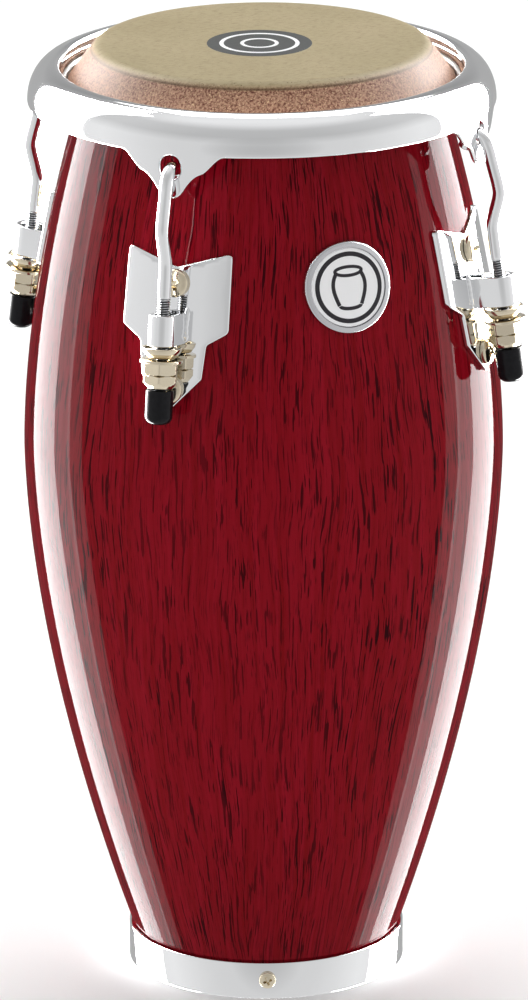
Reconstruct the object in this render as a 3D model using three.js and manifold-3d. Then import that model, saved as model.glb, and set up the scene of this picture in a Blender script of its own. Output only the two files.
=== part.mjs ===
// Mini conga drum: a barrel of wooden staves with a bottom ring, a hide head on a flesh hoop,
// a pressed counterhoop with four ears, and four tuning lugs with hooked rods.
// Millimetres, +Z up, origin on the floor under the drum's axis, badge facing -Y.
import * as THREE from "three";
import { mergeVertices } from "three/addons/utils/BufferGeometryUtils.js";
import Module from "manifold-3d";

const wasm = await Module();
wasm.setup();

// ---- driving dimensions ----
const HEIGHT = 280;
const GAP = 0.3; // between pieces that touch

const BELLY_R = 70.2;
const BELLY_Z = 160;
const LOWER_TAPER = { drop: 28.3, span: 142.5, power: 1.7 };
const UPPER_TAPER = { drop: 16.8, span: 102, power: 1.75 };
const WALL = 7.5;
const STAVES = 12;
const SHELL_FACETS = 48;

const RING_R = 40.8;
const RING_WALL = 1.2;
const RING_HEIGHT = 11;
const RING_LIP = { width: 4.3, thickness: 1.5 };
const RING_SCREWS = 3;
const RING_SCREW_Z = 6;
const RING_SCREW_FIRST = -112; // degrees from +X

const EDGE_R = 45.9; // centre of the rounded bearing edge
const EDGE_ROUND = 3.2;
const SKIN = 0.9;
const COLLAR_ANGLE = 36; // where the playing surface ends on the bearing edge, degrees

const HOOP_R = 58;
const HOOP_Z = 268.3;
const HOOP_WIRE_R = 1.6;
const TUCK_FROM = 165; // degrees round the flesh hoop, anticlockwise from straight out
const TUCK_TO = 460;

const RIM_R = 68;
const RIM_SHEET = 1.6;
const RIM_BOTTOM = 263.5;
const RIM_BEAD = { r: 60.2, z: 272.6, radius: 1.7 };
const RIM_FACETS = 60;
const EAR = { halfWidth: 16, tip: 250.7, tipRound: 2.6, shoulder: 9, shoulderDrop: 5.2, overlap: 1.5 };
const EAR_HOLE = { width: 6.4, top: 262.8, bottom: 255.4 };
const CUTTER_PAST = 6; // how far a cutting prism stands past the sheet that it cuts

const LUG_ANGLES = { front_left: -135, front_right: -45, back_right: 45, back_left: 135 };
const ROD_LEAN = 8; // degrees: the rod leans out towards its lower end
const ROD_R = 1.95;
const LUG_R = 74.25; // where the rod's axis crosses the middle of the bracket
const LUG_Z = 213;

const PLATE = { wing: 15.9, wingTop: 233.5, notch: 228.8, wingFoot: 211, neck: 10.2, neckTop: 207.3 };
const PLATE_FOOT = { width: 9.3, top: 197.6, tip: 187.9 };
const PLATE_SHEET = 1.5;
const PLATE_BLANK = { from: 50, to: 90 }; // radii between which the plate's outline cuts
const BACKING_R = 20; // inner radius of the body that trims the bracket
const PLATE_FACETS = 72;

const BRACKET = { radius: 4, wall: 1.5, halfHeight: 4.5, noseShift: 0.5, back: -12 };
const CUP = { top: -4.9, height: 3, rimR: 5.8, hubR: 4.1, sheet: 0.9, play: 0.3 };
const FLANGE = { top: -8.3, r: 6.2, thickness: 0.9 };
const NUT = { flats: 9.3, height: 4.3, boreR: 2.12 };
const LOCK_NUT = { height: 3.9, footR: 3.7, coneHeight: 2 };
const BORE_CUTTER = { length: 60, facets: 12 };
const CAP = { r: 4, length: 10, round: 2.4, wall: 1.4 };

const SCREW_HOLE = { play: 0.35, outside: 4 }; // play round the shank, and how far the drill starts outside
const LUG_SCREW = { headR: 4.1, headHeight: 2, shankR: 1.7, depth: 5.5, heights: { upper: 224, lower: 194 } };
const RING_SCREW = { headR: 2.5, headHeight: 1.5, shankR: 1.2, depth: 5 };

const BADGE = { z: 222.8, r: 13.15, bezel: 1.7, height: 1.7, floor: 0.5, face: 0.8, cutter: 20 };

const BADGE_FACETS = 24;

const CURVE_STEPS = 7; // straight pieces in each curve of a prism's outline

// ---- finishes ----
const finish = (color, roughness, metalness) => ({ color, roughness, metalness });
const CHROME = finish(0xd9dbde, 0.08, 1);
const NICKEL = finish(0xc9bea6, 0.25, 1);
const WOOD = finish(0x74121d, 0.18, 0);
const HIDE = finish(0xbea47a, 0.6, 0);
const STEEL = finish(0x8c8c8c, 0.4, 1);
const RUBBER = finish(0x0d0d0f, 0.35, 0);
const WHITE_FACE = finish(0xe9e9ea, 0.3, 0);
const BEZEL_GREY = finish(0xb4b4b8, 0.3, 0.8);

// ---- solids ----
const radians = THREE.MathUtils.degToRad;

function solid(geometry) {
  const plain = new THREE.BufferGeometry();
  plain.setAttribute("position", geometry.getAttribute("position").clone());
  plain.setIndex(geometry.index);
  const merged = mergeVertices(plain, 1e-4);
  return new wasm.Manifold(
    new wasm.Mesh({
      numProp: 3,
      vertProperties: new Float32Array(merged.attributes.position.array),
      triVerts: new Uint32Array(merged.index.array),
    }),
  );
}

function geometryOf(body) {
  const mesh = body.getMesh();
  const geometry = new THREE.BufferGeometry();
  geometry.setAttribute("position", new THREE.BufferAttribute(mesh.vertProperties, 3));
  geometry.setIndex(new THREE.BufferAttribute(mesh.triVerts, 1));
  const faceted = geometry.toNonIndexed();
  faceted.computeVertexNormals();
  return faceted;
}

// A body turned about Z from a closed profile of [radius, height] points, in either order.
function turned(profile, facets) {
  const points = profile.map(([r, z]) => new THREE.Vector2(r, z));
  if (THREE.ShapeUtils.area(points) < 0) points.reverse();
  points.push(points[0].clone());
  const lathe = new THREE.LatheGeometry(points, facets);
  lathe.rotateX(Math.PI / 2);
  return lathe;
}

// As turned, for a profile whose ends lie on the axis: lowest point first, outside on the way up.
function turnedSolidOnAxis(profile, facets) {
  const points = profile.map(([r, z]) => new THREE.Vector2(r, z));
  const lathe = new THREE.LatheGeometry(points, facets);
  lathe.rotateX(Math.PI / 2);
  return lathe;
}

// A prism along +Z from an outline.
function prism(shape, depth) {
  return new THREE.ExtrudeGeometry(shape, { depth, bevelEnabled: false, curveSegments: CURVE_STEPS });
}

// A prism along +X: the outline's x becomes Y and its y becomes Z.
function radialPrism(shape, from, to) {
  const body = prism(shape, to - from);
  const frame = new THREE.Matrix4().makeBasis(
    new THREE.Vector3(0, 1, 0),
    new THREE.Vector3(0, 0, 1),
    new THREE.Vector3(1, 0, 0),
  );
  body.applyMatrix4(frame);
  body.translate(from, 0, 0);
  return body;
}

function outline(points) {
  return new THREE.Shape(points.map(([x, y]) => new THREE.Vector2(x, y)));
}

function arc(centre, radius, fromDegrees, toDegrees, steps) {
  return Array.from({ length: steps + 1 }, (_, i) => {
    const angle = radians(fromDegrees + ((toDegrees - fromDegrees) * i) / steps);
    return [centre[0] + radius * Math.cos(angle), centre[1] + radius * Math.sin(angle)];
  });
}

function range(from, to, steps) {
  return Array.from({ length: steps + 1 }, (_, i) => from + ((to - from) * i) / steps);
}

// Puts a geometry made along +Z onto a line that starts at (radius, z) and points outwards,
// raised by tilt degrees, in the plane of one lug.
function alongRadius(geometry, radius, z, tiltDegrees) {
  geometry.rotateY(Math.PI / 2 - radians(tiltDegrees));
  geometry.translate(radius, 0, z);
  return geometry;
}

const model = new THREE.Group();

function add(parent, name, geometry, look) {
  const mesh = new THREE.Mesh(geometry, new THREE.MeshStandardMaterial(look));
  mesh.name = name;
  parent.add(mesh);
  return mesh;
}

// ---- shell ----
function shellRadius(z) {
  const taper = z < BELLY_Z ? LOWER_TAPER : UPPER_TAPER;
  return BELLY_R - taper.drop * (Math.abs(z - BELLY_Z) / taper.span) ** taper.power;
}

// How far the wall's outward normal is raised, in degrees.
function wallTilt(z) {
  const slope = (shellRadius(z + 1) - shellRadius(z - 1)) / 2;
  return THREE.MathUtils.radToDeg(Math.atan(-slope));
}

const SEAT_R = RING_R - RING_WALL - GAP;
const SEAT_TOP = RING_HEIGHT + GAP;
const SHELL_FOOT = RING_LIP.thickness + GAP;
const EDGE_Z = HEIGHT - SKIN - GAP - EDGE_ROUND;

function shellProfile() {
  const outside = range(SEAT_TOP, EDGE_Z - 3, 9).map((z) => [shellRadius(z), z]);
  const crown = arc([EDGE_R, EDGE_Z], EDGE_ROUND, 0, 150, 4);
  const inside = range(EDGE_Z - 4, SEAT_TOP, 6).map((z) => [shellRadius(z) - WALL, z]);
  return [
    [SEAT_R, SHELL_FOOT],
    [SEAT_R, SEAT_TOP],
    ...outside,
    ...crown,
    ...inside,
    [shellRadius(SEAT_TOP) - WALL, SHELL_FOOT],
  ];
}

function screwHole(screw, radius, z, tilt, angle) {
  const clearance = screw.shankR + SCREW_HOLE.play;
  const length = screw.depth + SCREW_HOLE.outside;
  const hole = new THREE.CylinderGeometry(clearance, clearance, length, 8);
  hole.rotateX(Math.PI / 2);
  hole.translate(0, 0, SCREW_HOLE.outside - length / 2);
  alongRadius(hole, radius, z, tilt);
  hole.rotateZ(radians(angle));
  return solid(hole);
}

function ringScrewAngle(i) {
  return RING_SCREW_FIRST + (360 / RING_SCREWS) * i;
}

function staves() {
  const barrel = solid(turned(shellProfile(), SHELL_FACETS));
  const holes = Array.from({ length: RING_SCREWS }, (_, i) =>
    screwHole(RING_SCREW, SEAT_R, RING_SCREW_Z, 0, ringScrewAngle(i)),
  );
  for (const angle of Object.values(LUG_ANGLES))
    for (const z of Object.values(LUG_SCREW.heights))
      holes.push(screwHole(LUG_SCREW, shellRadius(z), z, wallTilt(z), angle));
  const drilled = holes.reduce((body, hole) => body.subtract(hole), barrel);

  const half = Math.PI / STAVES;
  const apex = GAP / 2 / Math.sin(half);
  const reach = 2 * BELLY_R;
  const side = (sign) => [apex + reach * Math.cos(half), sign * reach * Math.sin(half)];
  const wedge = prism(outline([[apex, 0], side(-1), side(1)]), HEIGHT);
  for (let i = 0; i < STAVES; i++) {
    const slice = wedge.clone().rotateZ(half * (2 * i + 1));
    const number = String(i + 1).padStart(2, "0");
    add(model, `stave_${number}`, geometryOf(drilled.intersect(solid(slice))), WOOD);
  }
}

// ---- bottom ring ----
function bottomRing() {
  const inner = RING_R - RING_WALL;
  const profile = [
    [RING_R, 0],
    [RING_R, RING_HEIGHT],
    [inner, RING_HEIGHT],
    [inner, RING_LIP.thickness],
    [inner - RING_LIP.width, RING_LIP.thickness],
    [inner - RING_LIP.width, 0],
  ];
  let ring = solid(turned(profile, RIM_FACETS));
  for (let i = 0; i < RING_SCREWS; i++)
    ring = ring.subtract(screwHole(RING_SCREW, RING_R, RING_SCREW_Z, 0, ringScrewAngle(i)));
  add(model, "bottom_ring", geometryOf(ring), CHROME);

  for (let i = 0; i < RING_SCREWS; i++) {
    const turn = new THREE.Group();
    turn.rotation.z = radians(ringScrewAngle(i));
    model.add(turn);
    const screw = alongRadius(panHeadScrew(RING_SCREW), RING_R + GAP, RING_SCREW_Z, 0);
    add(turn, `ring_screw_${i + 1}`, screw, NICKEL);
  }
}

// A pan head screw on Z, the underside of its head at 0 and its point below.
function panHeadScrew({ headR, headHeight, shankR, depth }) {
  const point = depth + GAP;
  return turnedSolidOnAxis(
    [
      [0, -point],
      [shankR, -point],
      [shankR, 0],
      [headR, 0],
      [headR, headHeight * 0.35],
      [headR * 0.6, headHeight],
      [0, headHeight],
    ],
    12,
  );
}

// ---- head ----
const SKIN_FACETS = 36;

function head() {
  const under = EDGE_ROUND + GAP;
  const over = under + SKIN;
  const centre = [EDGE_R, EDGE_Z];
  const batter = turnedSolidOnAxis(
    [
      [0, EDGE_Z + under],
      ...arc(centre, under, 90, COLLAR_ANGLE, 3),
      ...arc(centre, over, COLLAR_ANGLE, 90, 3),
      [0, HEIGHT],
    ],
    SKIN_FACETS,
  );
  add(model, "skin_batter", batter, HIDE);

  const tuckInner = HOOP_WIRE_R + GAP;
  const tuckOuter = tuckInner + SKIN;
  const hoopCentre = [HOOP_R, HOOP_Z];
  const slopeX = Math.sin(radians(COLLAR_ANGLE));
  const slopeZ = -Math.cos(radians(COLLAR_ANGLE));
  const [topIn] = arc(centre, under, COLLAR_ANGLE, COLLAR_ANGLE, 1);
  const [topOut] = arc(centre, over, COLLAR_ANGLE, COLLAR_ANGLE, 1);
  const [footIn] = arc(hoopCentre, tuckOuter, TUCK_FROM, TUCK_FROM, 1);
  const [footOut] = arc(hoopCentre, tuckInner, TUCK_FROM, TUCK_FROM, 1);
  const clear = ([r, z], step) => [r + slopeX * step, z + slopeZ * step];
  const collar = turned(
    [clear(topIn, GAP), clear(topOut, GAP), clear(footOut, -GAP), clear(footIn, -GAP)],
    SKIN_FACETS,
  );
  add(model, "skin_collar", collar, HIDE);

  const tuck = turned(
    [
      ...arc(hoopCentre, tuckOuter, TUCK_FROM, TUCK_TO, 7),
      ...arc(hoopCentre, tuckInner, TUCK_TO, TUCK_FROM, 7),
    ],
    SKIN_FACETS,
  );
  add(model, "skin_tuck", tuck, HIDE);
  add(model, "flesh_hoop", turned(arc(hoopCentre, HOOP_WIRE_R, 0, 300, 5), SKIN_FACETS), STEEL);
}

// ---- counterhoop ----
function earShape() {
  const { halfWidth: w, tip, tipRound, shoulder, shoulderDrop, overlap } = EAR;
  const top = RIM_BOTTOM + overlap;
  const shape = new THREE.Shape();
  shape.moveTo(-w - 1, top);
  shape.lineTo(-w - 1, RIM_BOTTOM);
  const side = [
    [w - 3, RIM_BOTTOM, w - 4, RIM_BOTTOM - 4.6, shoulder, RIM_BOTTOM - shoulderDrop],
    [w - 10, RIM_BOTTOM - 6, w - 11, RIM_BOTTOM - 8, 1.5 * tipRound, tip + tipRound],
  ];
  for (const [x1, y1, x2, y2, x, y] of side) shape.bezierCurveTo(-x1, y1, -x2, y2, -x, y);
  shape.quadraticCurveTo(-tipRound, tip, 0, tip);
  shape.quadraticCurveTo(tipRound, tip, 1.5 * tipRound, tip + tipRound);
  shape.bezierCurveTo(w - 11, RIM_BOTTOM - 8, w - 10, RIM_BOTTOM - 6, shoulder, RIM_BOTTOM - shoulderDrop);
  shape.bezierCurveTo(w - 4, RIM_BOTTOM - 4.6, w - 3, RIM_BOTTOM, w + 1, RIM_BOTTOM);
  shape.lineTo(w + 1, top);
  return shape;
}

function earHole() {
  const r = EAR_HOLE.width / 2;
  const shape = new THREE.Shape();
  shape.absarc(0, EAR_HOLE.top - r, r, 0, Math.PI);
  shape.absarc(0, EAR_HOLE.bottom + r, r, Math.PI, 2 * Math.PI);
  return shape;
}

function rim() {
  const { r, z, radius } = RIM_BEAD;
  const across = RIM_R - r;
  const drop = z + radius - RIM_BOTTOM;
  const quarter = (inset, from, to, steps) =>
    arc([0, 0], 1, from, to, steps).map(([x, y]) => [
      r + (across - inset) * x,
      RIM_BOTTOM + (drop - inset) * y,
    ]);
  const profile = [
    ...quarter(0, 90, 0, 5),
    ...quarter(RIM_SHEET, 0, 72, 3),
    ...arc([r, z], radius, -20, -270, 5).slice(0, -1),
  ];
  let band = solid(turned(profile, RIM_FACETS));

  const layer = turned(
    [
      [RIM_R, EAR.tip - 1],
      [RIM_R, RIM_BOTTOM + EAR.overlap - GAP],
      [RIM_R - RIM_SHEET, RIM_BOTTOM + EAR.overlap - GAP],
      [RIM_R - RIM_SHEET, EAR.tip - 1],
    ],
    RIM_FACETS,
  );
  const wall = solid(layer);
  for (const angle of Object.values(LUG_ANGLES)) {
    const blank = radialPrism(earShape(), RIM_R - 2 * CUTTER_PAST, RIM_R + CUTTER_PAST);
    band = band.add(wall.intersect(solid(blank.rotateZ(radians(angle)))));
  }
  for (const angle of Object.values(LUG_ANGLES)) {
    const hole = radialPrism(earHole(), RIM_R - CUTTER_PAST, RIM_R + CUTTER_PAST);
    band = band.subtract(solid(hole.rotateZ(radians(angle))));
  }
  add(model, "rim", geometryOf(band), CHROME);
}

// ---- tuning lugs ----
function sidePlateSolid() {
  const { wing, wingTop, notch, wingFoot, neck, neckTop } = PLATE;
  const { width, top, tip } = PLATE_FOOT;
  const half = [
    [wing, wingTop],
    [wing + 0.4, wingFoot],
    [neck, neckTop],
    [width, top],
  ];
  const mirrored = half.map(([y, z]) => [-y, z]).reverse();
  const shape = outline([[0, notch], ...half, [0, tip], ...mirrored]);
  const blank = radialPrism(shape, PLATE_BLANK.from, PLATE_BLANK.to);

  const heights = range(tip - 3, wingTop + 3, 5);
  const face = (offset) => heights.map((z) => [shellRadius(z) + offset, z]);
  const layer = turned([...face(GAP), ...face(GAP + PLATE_SHEET).reverse()], PLATE_FACETS);
  let plate = solid(layer).intersect(solid(blank));
  for (const z of Object.values(LUG_SCREW.heights))
    plate = plate.subtract(screwHole(LUG_SCREW, shellRadius(z), z, wallTilt(z), 0));
  return plate;
}

// The bracket is a strap bent round the rod, its ends cut to meet the plate.
function bracket(plateFace) {
  const { radius, wall, halfHeight, noseShift, back } = BRACKET;
  const shape = new THREE.Shape();
  shape.moveTo(back, radius);
  shape.lineTo(back, radius - wall);
  shape.absarc(noseShift, 0, radius - wall, Math.PI / 2, -Math.PI / 2, true);
  shape.lineTo(back, wall - radius);
  shape.lineTo(back, -radius);
  shape.absarc(noseShift, 0, radius, -Math.PI / 2, Math.PI / 2, false);
  const strap = prism(shape, 2 * halfHeight);
  strap.translate(0, 0, -halfHeight);
  strap.applyMatrix4(rodFrame());
  return geometryOf(solid(strap).subtract(plateFace));
}

// Everything up to and behind the plate's outer face, for cutting the bracket.
function plateBacking() {
  const heights = range(PLATE_FOOT.tip - 3, PLATE.wingTop + 3, 7);
  const face = heights.map((z) => [shellRadius(z) + 2 * GAP + PLATE_SHEET, z]);
  const first = face[0];
  const last = face[face.length - 1];
  return solid(turned([[BACKING_R, first[1]], ...face, [BACKING_R, last[1]]], PLATE_FACETS));
}

// Rod coordinates: Z along the rod's straight part, X outwards, origin in the bracket.
function rodFrame() {
  const frame = new THREE.Matrix4().makeTranslation(LUG_R, 0, LUG_Z);
  frame.multiply(new THREE.Matrix4().makeRotationY(radians(-ROD_LEAN)));
  return frame;
}

const CAP_TOP = FLANGE.top - NUT.height - LOCK_NUT.height - 2 * GAP;
const ROD_FOOT = CAP_TOP - CAP.length + CAP.wall + GAP;

// The hooked rod: straight through the bracket, one outward knee, then over the ear's hole.
function hookRod() {
  const lean = Math.tan(radians(ROD_LEAN));
  const cosLean = Math.cos(radians(ROD_LEAN));
  const onAxis = (z) => [LUG_R - (z - LUG_Z) * lean, z];
  const foot = LUG_Z + ROD_FOOT * cosLean;
  const straight = range(foot, 229, 5).map(onAxis);
  const hook = [
    [71.75, 232],
    [72.5, 236],
    [73.4, 239.5],
    [73.75, 242],
    [73.2, 245],
    [72.35, 248],
    [71.5, 251],
    [70.5, 254.6],
    [69.2, 257.2],
    [67, 258.6],
    [64.6, 257.7],
    [63, 254.6],
  ];
  const points = [...straight, ...hook].map(([x, z]) => new THREE.Vector3(x, 0, z));
  const path = new THREE.CatmullRomCurve3(points, false, "centripetal");
  const section = new THREE.Shape();
  section.absarc(0, 0, ROD_R, 0, 2 * Math.PI);
  return new THREE.ExtrudeGeometry(section, {
    steps: 26,
    curveSegments: 4,
    bevelEnabled: false,
    extrudePath: path,
  });
}

function cupWasher() {
  const { top, height, rimR, hubR, sheet } = CUP;
  const bore = NUT.boreR + CUP.play;
  const foot = top - height;
  return turned(
    [
      [bore, foot],
      [hubR, foot],
      [rimR, top - 0.9],
      [rimR, top],
      [rimR - sheet, top],
      [hubR - 0.3, foot + sheet],
      [bore, foot + sheet],
    ],
    16,
  );
}

function hexShape(flats) {
  const corner = flats / Math.sqrt(3);
  return outline(arc([0, 0], corner, 0, 300, 5));
}

function bored(geometry) {
  const bore = new THREE.CylinderGeometry(NUT.boreR, NUT.boreR, BORE_CUTTER.length, BORE_CUTTER.facets);
  bore.rotateX(Math.PI / 2);
  return solid(geometry).subtract(solid(bore));
}

function tuningNut() {
  const foot = FLANGE.top - FLANGE.thickness;
  const flange = turnedSolidOnAxis(
    [
      [0, foot],
      [FLANGE.r, foot],
      [FLANGE.r - 0.2, FLANGE.top],
      [0, FLANGE.top],
    ],
    18,
  );
  const hexHeight = NUT.height - FLANGE.thickness;
  const hex = prism(hexShape(NUT.flats), hexHeight + 0.4);
  hex.translate(0, 0, foot - hexHeight);
  return geometryOf(bored(hex).add(bored(flange)));
}

// The lock nut's lower corners are turned to a cone.
function lockNut() {
  const top = FLANGE.top - NUT.height - GAP;
  const foot = top - LOCK_NUT.height;
  const corner = NUT.flats / Math.sqrt(3);
  const cone = turnedSolidOnAxis(
    [
      [0, foot],
      [LOCK_NUT.footR, foot],
      [corner + 0.1, foot + LOCK_NUT.coneHeight],
      [corner + 0.1, top],
      [0, top],
    ],
    24,
  );
  const hex = prism(hexShape(NUT.flats), LOCK_NUT.height);
  hex.translate(0, 0, foot);
  return geometryOf(bored(hex).intersect(solid(cone)));
}

function endCap() {
  const { r, length, round, wall } = CAP;
  const foot = CAP_TOP - length;
  const bore = ROD_R + GAP;
  return turnedSolidOnAxis(
    [
      [0, foot],
      ...arc([r - round, foot + round], round, -90, 0, 3),
      [r, CAP_TOP],
      [bore, CAP_TOP],
      [bore, foot + wall],
      [0, foot + wall],
    ],
    12,
  );
}

function lugs() {
  const plate = geometryOf(sidePlateSolid());
  const strap = bracket(plateBacking());
  const frame = rodFrame();
  const onRod = {
    cup_washer: [cupWasher(), NICKEL],
    tuning_nut: [tuningNut(), NICKEL],
    lock_nut: [lockNut(), NICKEL],
    end_cap: [endCap(), RUBBER],
  };
  for (const [corner, angle] of Object.entries(LUG_ANGLES)) {
    const lug = new THREE.Group();
    lug.rotation.z = radians(angle);
    model.add(lug);
    add(lug, `side_plate_${corner}`, plate, CHROME);
    add(lug, `bracket_${corner}`, strap, CHROME);
    add(lug, `hook_rod_${corner}`, hookRod(), CHROME);
    for (const [name, [geometry, look]] of Object.entries(onRod)) {
      const piece = add(lug, `${name}_${corner}`, geometry, look);
      piece.applyMatrix4(frame);
    }
    for (const [level, z] of Object.entries(LUG_SCREW.heights)) {
      const screw = panHeadScrew(LUG_SCREW).translate(0, 0, PLATE_SHEET + 2 * GAP);
      alongRadius(screw, shellRadius(z), z, wallTilt(z));
      add(lug, `${level}_screw_${corner}`, screw, NICKEL);
    }
  }
}

// ---- badge ----
// A shallow dish that follows the shell, with a plain face set in it.
function badge() {
  const { z, r, bezel, height, floor, face, cutter } = BADGE;
  const heights = range(z - r - 2, z + r + 2, 3);
  const layer = (from, to) => {
    const side = (offset) => heights.map((h) => [shellRadius(h) + offset, h]);
    return solid(turned([...side(from), ...side(to).reverse()], PLATE_FACETS));
  };
  const disc = (radius) => {
    const body = new THREE.CylinderGeometry(radius, radius, cutter, BADGE_FACETS);
    body.rotateX(Math.PI / 2);
    alongRadius(body, shellRadius(z), z, wallTilt(z));
    return solid(body);
  };
  const inner = r - bezel;
  const dish = layer(GAP, GAP + height)
    .intersect(disc(r))
    .subtract(layer(GAP + floor, GAP + height + 1).intersect(disc(inner)));
  const plaque = layer(2 * GAP + floor, 2 * GAP + floor + face).intersect(disc(inner - GAP));
  const front = new THREE.Group();
  front.rotation.z = -Math.PI / 2;
  model.add(front);
  add(front, "badge_bezel", geometryOf(dish), BEZEL_GREY);
  add(front, "badge_face", geometryOf(plaque), WHITE_FACE);
}

staves();
bottomRing();
head();
rim();
lugs();
badge();

export default model;
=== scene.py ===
# Mini conga drum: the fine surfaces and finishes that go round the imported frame.
# Lengths are in millimetres and angles in degrees until a mesh is made; Blender gets metres.
import math

import bmesh
import bpy
from mathutils import Matrix, Vector
from mathutils.geometry import delaunay_2d_cdt


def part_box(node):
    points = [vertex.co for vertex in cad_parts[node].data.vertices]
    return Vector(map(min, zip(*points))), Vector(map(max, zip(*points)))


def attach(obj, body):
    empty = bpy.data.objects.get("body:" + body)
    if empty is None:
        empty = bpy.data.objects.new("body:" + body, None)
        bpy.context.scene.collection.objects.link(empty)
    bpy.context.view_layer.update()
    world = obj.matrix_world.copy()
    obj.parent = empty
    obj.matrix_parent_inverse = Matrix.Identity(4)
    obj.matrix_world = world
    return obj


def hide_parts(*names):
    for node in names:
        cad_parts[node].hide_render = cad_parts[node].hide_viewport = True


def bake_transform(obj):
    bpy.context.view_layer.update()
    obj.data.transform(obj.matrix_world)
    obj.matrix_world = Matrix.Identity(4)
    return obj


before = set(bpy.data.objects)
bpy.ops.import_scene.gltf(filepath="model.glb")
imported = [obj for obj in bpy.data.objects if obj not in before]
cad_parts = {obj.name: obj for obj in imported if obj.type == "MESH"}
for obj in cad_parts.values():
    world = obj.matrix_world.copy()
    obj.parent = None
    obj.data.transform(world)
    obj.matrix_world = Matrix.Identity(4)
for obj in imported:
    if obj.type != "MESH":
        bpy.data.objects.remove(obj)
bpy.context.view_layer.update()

MM = 0.001


def low(node):
    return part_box(node)[0] / MM


def high(node):
    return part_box(node)[1] / MM


# ---- sizes: those that the frame knows, then the ones it doesn't ----
HEIGHT = high("skin_batter").z
RING_R = high("bottom_ring").x
RING_HEIGHT = high("bottom_ring").z
RING_WALL = 1.2
RING_LIP = (4.3, 1.5)  # width and thickness
GAP = 0.3

BELLY_R = 70.2
BELLY_Z = 160
LOWER_TAPER = (28.3, 142.5, 1.7)  # drop, span, power
UPPER_TAPER = (16.8, 102, 1.75)
WALL = 7.5
STAVES = 12
SEAT_R = 39.3
SEAT_TOP = 11.3
SHELL_FOOT = 1.8

EDGE_R = 45.9  # centre of the rounded bearing edge
EDGE_ROUND = 3.2
SKIN = 0.9
EDGE_Z = HEIGHT - SKIN - GAP - EDGE_ROUND
COLLAR_ANGLE = 36
CREASE_TOP = 3.9  # above EDGE_Z, where the playing surface turns into the collar
CREASE_FOOT = 2.2

HOOP = (58, 268.3)
HOOP_WIRE_R = 1.6
TUCK_FROM = 165
TUCK_TO = 460
TUCK_REACH = 2.9  # how far the tuck reaches from the middle of the hoop's wire

RIM_R = 68
RIM_SHEET = 1.6
RIM_BOTTOM = 263.5
RIM_BEAD = (60.2, 272.6, 1.7)  # radius and height of its centre, and its own radius
EAR_TIP = low("rim").z
EAR_HALF = 16
EAR_HOLE = (3.2, 262.8, 255.4)  # half-width, top, bottom

LUGS = {"front_left": -135, "front_right": -45, "back_right": 45, "back_left": 135}
ROD_LEAN = 8
ROD_R = 1.95
LUG_R = 74.25
LUG_Z = 213

PLATE_HALF = [(0, 228.8), (15.9, 233.5), (16.3, 211), (10.2, 207.3), (9.3, 197.6), (0, 187.9)]
PLATE_SHEET = 1.5
BRACKET = (4, 1.5, 4.5, 0.5)  # radius, wall, half height, how far its nose is out from the rod
CUP_TOP = -4.9
CUP_HEIGHT = 3
CUP_RIM_R = 5.8
FLANGE_TOP = -8.3
FLANGE_R = 6.2
FLANGE_THICKNESS = 0.9
NUT_FLATS = 9.3
NUT_HEIGHT = 4.3
LOCK_NUT_HEIGHT = 3.9
LOCK_NUT_FOOT = (3.7, 2.0)  # radius and height of its cone
CAP_TOP = FLANGE_TOP - NUT_HEIGHT - LOCK_NUT_HEIGHT - 2 * GAP
CAP_LENGTH = 10
CAP_R = 4
ROD_FOOT = CAP_TOP - CAP_LENGTH + 1.7
PITCH = 0.7
THREAD_SHADE_DEPTH = 0.2
THREAD_TOP = 9.6  # above the middle of the bracket, along the rod

LUG_SCREW_HEIGHTS = {"upper": 224, "lower": 194}
LUG_SCREW = (4.1, 2.0)  # head radius and height
RING_SCREW = (2.5, 1.5)
RING_SCREW_Z = 6
RING_SCREW_FIRST = -112

BADGE_Z = 222.8
BADGE_R = 13.15
BADGE_BEZEL = 1.7
BADGE_HEIGHT = 1.7
BADGE_FLOOR = 0.5
BADGE_FACE = 0.75


# ---- the shell's line ----
def shell_radius(z):
    drop, span, power = LOWER_TAPER if z < BELLY_Z else UPPER_TAPER
    return BELLY_R - drop * (abs(z - BELLY_Z) / span) ** power


def wall_tilt(z):
    return math.degrees(math.atan(-(shell_radius(z + 1) - shell_radius(z - 1)) / 2))


def spread(start, stop, steps):
    return [start + (stop - start) * i / steps for i in range(steps + 1)]


def arc(centre, radius, start, stop, steps):
    x, y = centre
    angles = [math.radians(a) for a in spread(start, stop, steps)]
    return [(x + radius * math.cos(a), y + radius * math.sin(a)) for a in angles]


def around_z(degrees):
    return Matrix.Rotation(math.radians(degrees), 4, "Z")


def rod_frame(corner):
    """Z along the rod's straight part, X outwards, origin in the middle of the bracket."""
    lean = Matrix.Rotation(math.radians(-ROD_LEAN), 4, "Y")
    return around_z(LUGS[corner]) @ Matrix.Translation((LUG_R, 0, LUG_Z)) @ lean


def wall_frame(angle, radius, z, tilt):
    """Z outwards from the wall, X to the right, Y up, origin on the wall."""
    turn = Matrix.Rotation(math.radians(-tilt), 4, "Y")
    axes = Matrix(((0, 0, 1, 0), (1, 0, 0, 0), (0, 1, 0, 0), (0, 0, 0, 1)))
    return around_z(angle) @ Matrix.Translation((radius, 0, z)) @ turn @ axes


# ---- meshes ----
ROUND_COLUMNS = 240  # columns round the drum's largest round pieces


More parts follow.
